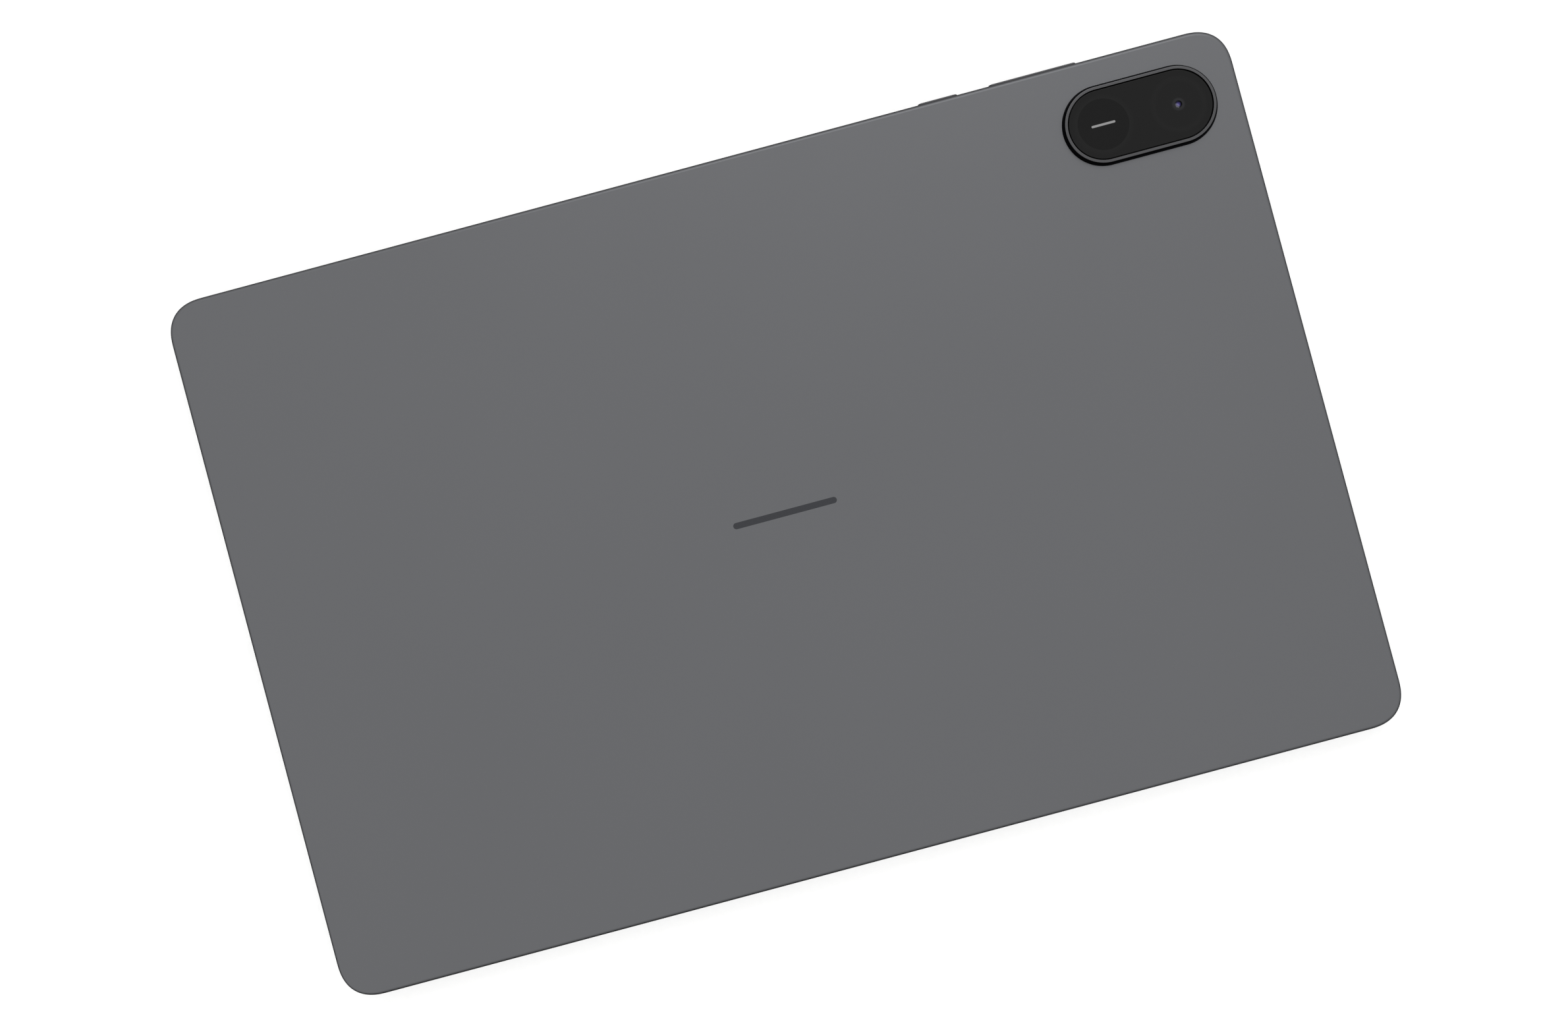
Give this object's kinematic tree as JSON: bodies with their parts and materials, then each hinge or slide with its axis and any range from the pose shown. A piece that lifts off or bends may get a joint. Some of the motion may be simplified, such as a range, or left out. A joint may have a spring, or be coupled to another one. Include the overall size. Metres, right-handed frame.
{
  "type": "tablet computer",
  "caption": "Thin tablet computer lying on its screen: aluminium back with a raised oval camera island, sprung side keys, card tray and charging socket.",
  "frame": {"origin": "centre of the screen glass's outer face, which the tablet rests on", "axes": "+Z out of the back, +X along the long side towards the camera end, +Y across towards the edge with the keys"},
  "size_m": [0.257, 0.1689, 0.0086],
  "materials": {
    "anodised_shell": "fine bead-blasted and anodised grey, satin",
    "anodised_trim": "machined and anodised dark grey, satin",
    "black_moulding": "moulded, fine matt texture",
    "cover_glass": "polished sheet glass, printed black border on its inner face",
    "camera_glass": "polished sheet glass",
    "lens_glass": "polished, anti-reflection coated",
    "display_panel": "two bonded glass sheets with polarisers, switched off",
    "camera_film": "dark decorative film",
    "light_guide": "clear acrylic sheet with diffuser films",
    "sheet_aluminium": "rolled sheet, mill finish",
    "cast_magnesium": "die cast, light blasted",
    "stainless_steel": "pressed stainless sheet",
    "circuit_board": "green solder mask on glass-epoxy board",
    "flex_film": "amber polyimide film",
    "battery_pouch": "laminated foil pouch",
    "graphite_film": "soft graphite sheet in film",
    "chip_resin": "moulded chip resin",
    "silicone": "moulded silicone",
    "speaker_cloth": "woven steel mesh, blackened"
  },
  "bodies": {
    "tablet": {"rear_cover": "anodised_shell", "camera_ring": "anodised_trim", "display_frame": "black_moulding", "camera_base": "black_moulding", "rear_camera_module": "black_moulding", "front_camera": "black_moulding", "speaker_upper_left": "black_moulding", "speaker_lower_left": "black_moulding", "speaker_upper_right": "black_moulding", "speaker_lower_right": "black_moulding", "power_switch": "black_moulding", "volume_up_switch": "black_moulding", "volume_down_switch": "black_moulding", "usb_tongue": "black_moulding", "cover_glass": "cover_glass", "camera_glass": "camera_glass", "rear_camera_lens": "lens_glass", "front_camera_lens": "lens_glass", "lcd_panel": "display_panel", "camera_film": "camera_film", "light_guide": "light_guide", "backlight_tray": "sheet_aluminium", "mid_plate": "cast_magnesium", "processor_shield": "stainless_steel", "radio_shield": "stainless_steel", "power_shield": "stainless_steel", "card_socket": "stainless_steel", "usb_socket": "stainless_steel", "key_bracket": "stainless_steel", "microphone": "stainless_steel", "antenna_upper": "stainless_steel", "antenna_lower": "stainless_steel", "board_screw_1": "stainless_steel", "board_screw_2": "stainless_steel", "board_screw_3": "stainless_steel", "board_screw_4": "stainless_steel", "board_screw_5": "stainless_steel", "board_screw_6": "stainless_steel", "main_board": "circuit_board", "battery_board": "circuit_board", "port_board": "circuit_board", "display_flex": "flex_film", "rear_camera_flex": "flex_film", "key_flex": "flex_film", "link_flex": "flex_film", "battery_cell_left": "battery_pouch", "battery_cell_right": "battery_pouch", "graphite_sheet": "graphite_film", "processor": "chip_resin", "storage_chip": "chip_resin", "speaker_mesh_upper_left": "speaker_cloth", "speaker_mesh_lower_left": "speaker_cloth", "speaker_mesh_upper_right": "speaker_cloth", "speaker_mesh_lower_right": "speaker_cloth"},
    "power_key": {"power_key": "anodised_trim", "power_key_plunger": "silicone"},
    "volume_key": {"volume_key": "anodised_trim", "volume_key_plunger": "silicone"},
    "card_tray": {"card_tray": "anodised_trim"}
  },
  "joints": [
    {"name": "power_key_press", "type": "slide", "parent": "tablet", "child": "power_key", "axis": [0, -1, 0], "range_m": [0, 0.0003], "stiffness_N_per_m": 5000},
    {"name": "volume_key_rock", "type": "hinge", "parent": "tablet", "child": "volume_key", "pos_m": [0.0828, 0.0828, 0.00405], "axis": [0, 0, 1], "range_deg": [-1.5, 1.5], "stiffness_Nm_per_rad": 1.5},
    {"name": "card_tray_slide", "type": "slide", "parent": "tablet", "child": "card_tray", "axis": [1, 0, 0], "range_m": [0, 0.014]}
  ]
}
